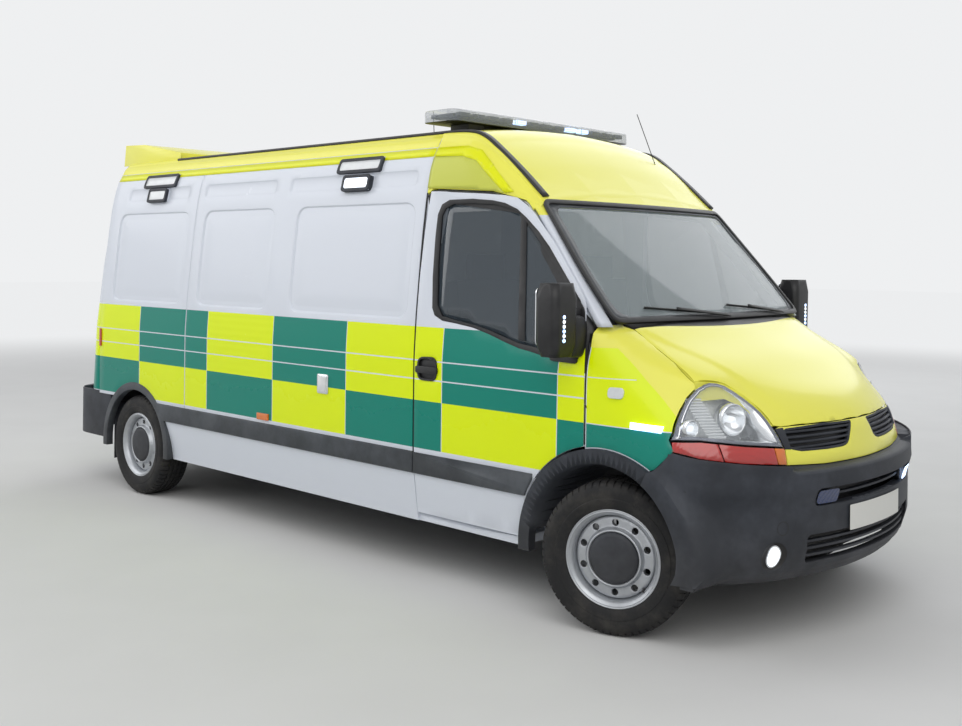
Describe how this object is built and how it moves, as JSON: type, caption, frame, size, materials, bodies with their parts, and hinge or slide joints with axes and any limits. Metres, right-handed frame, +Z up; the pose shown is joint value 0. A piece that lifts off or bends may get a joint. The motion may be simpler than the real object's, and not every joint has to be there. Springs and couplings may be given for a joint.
{
  "type": "panel van ambulance",
  "caption": "High-roof panel van ambulance with steered front wheels, hinged cab and rear doors, bonnet, roof light bar and a hollow cab and load space.",
  "frame": {"origin": "middle of the box around the vehicle at the ground it stands on", "axes": "+Z up, nose toward -Y, the vehicle's right-hand (driver's) side toward -X"},
  "size_m": [2.38, 5.899, 2.4999],
  "materials": {
    "white_paint": "gloss",
    "yellow_paint": "gloss",
    "bumper_plastic": "grained",
    "glass": "clear",
    "lamp_clear": "clear",
    "light_bar_lens": "clear moulded",
    "tyre": "matt",
    "wheel_steel": "silver",
    "seat_fabric": "woven",
    "dash_plastic": "grained",
    "lining": "satin",
    "engine_alloy": "cast",
    "floor_paint": "sealed",
    "chassis_black": "satin"
  },
  "bodies": {
    "body": {"floor": "floor_paint", "side_panel_right": "white_paint", "side_panel_left": "white_paint", "sliding_door": "white_paint", "roof": "yellow_paint", "rear_frame": "white_paint", "cab_roof": "yellow_paint", "pillar_left": "white_paint", "pillar_right": "white_paint", "bulkhead": "lining", "wing_left": "yellow_paint", "wing_right": "yellow_paint", "front_panel": "yellow_paint", "front_bumper": "bumper_plastic", "headlamp_left": "lamp_clear", "headlamp_right": "lamp_clear", "windscreen": "glass", "scuttle": "bumper_plastic", "rear_bumper": "bumper_plastic", "moulding_left": "bumper_plastic", "moulding_right": "bumper_plastic", "light_bar": "light_bar_lens", "rear_fairing": "yellow_paint", "seats": "seat_fabric", "dashboard": "dash_plastic", "engine": "engine_alloy", "subframe": "chassis_black", "rear_axle": "chassis_black"},
    "cab_door_left": {"cab_door_left": "white_paint", "door_glass_left": "glass"},
    "cab_door_right": {"cab_door_right": "white_paint", "door_glass_right": "glass"},
    "rear_door_left": {"rear_door_left": "white_paint"},
    "rear_door_right": {"rear_door_right": "white_paint"},
    "bonnet": {"bonnet": "yellow_paint"},
    "steer_left": {"knuckle_left": "chassis_black"},
    "steer_right": {"knuckle_right": "chassis_black"},
    "wheel_front_left": {"tyre_front_left": "tyre", "rim_front_left": "wheel_steel"},
    "wheel_front_right": {"tyre_front_right": "tyre", "rim_front_right": "wheel_steel"},
    "wheel_rear_left": {"tyre_rear_left": "tyre", "rim_rear_left": "wheel_steel"},
    "wheel_rear_right": {"tyre_rear_right": "tyre", "rim_rear_right": "wheel_steel"}
  },
  "joints": [
    {"name": "cab_door_left_hinge", "type": "hinge", "parent": "body", "child": "cab_door_left", "pos_m": [1.004, -1.9995, 0.9], "axis": [0, 0, 1], "range_deg": [-65, 0]},
    {"name": "cab_door_right_hinge", "type": "hinge", "parent": "body", "child": "cab_door_right", "pos_m": [-1.004, -1.9995, 0.9], "axis": [0, 0, 1], "range_deg": [0, 65]},
    {"name": "rear_door_left_hinge", "type": "hinge", "parent": "body", "child": "rear_door_left", "pos_m": [0.7645, 2.7688, 1.4], "axis": [0, -0.084, 0.9965], "range_deg": [-90, 0]},
    {"name": "rear_door_right_hinge", "type": "hinge", "parent": "body", "child": "rear_door_right", "pos_m": [-0.7645, 2.7688, 1.4], "axis": [0, -0.084, 0.9965], "range_deg": [0, 90]},
    {"name": "bonnet_hinge", "type": "hinge", "parent": "body", "child": "bonnet", "pos_m": [0, -2.131, 1.394], "axis": [1, 0, 0], "range_deg": [-55, 0]},
    {"name": "steering_left", "type": "hinge", "parent": "body", "child": "steer_left", "pos_m": [0.835, -2.1075, 0.345], "axis": [0, 0, 1], "range_deg": [-53, 17]},
    {"name": "steering_right", "type": "hinge", "parent": "body", "child": "steer_right", "pos_m": [-0.835, -2.1075, 0.345], "axis": [0, 0, 1], "range_deg": [-53, 17]},
    {"name": "wheel_front_left_spin", "type": "hinge", "parent": "steer_left", "child": "wheel_front_left", "pos_m": [0.86825, -2.09657, 0.345], "axis": [0.95, 0.3123, 0], "continuous": true},
    {"name": "wheel_front_right_spin", "type": "hinge", "parent": "steer_right", "child": "wheel_front_right", "pos_m": [-0.86825, -2.11843, 0.345], "axis": [0.95, 0.3123, 0], "continuous": true},
    {"name": "wheel_rear_left_spin", "type": "hinge", "parent": "body", "child": "wheel_rear_left", "pos_m": [0.862, 1.9705, 0.345], "axis": [1, 0, 0], "continuous": true},
    {"name": "wheel_rear_right_spin", "type": "hinge", "parent": "body", "child": "wheel_rear_right", "pos_m": [-0.862, 1.9705, 0.345], "axis": [1, 0, 0], "continuous": true}
  ],
  "couplings": [
    {"joint": "steering_left", "follows": "steering_right", "ratio": 1}
  ]
}
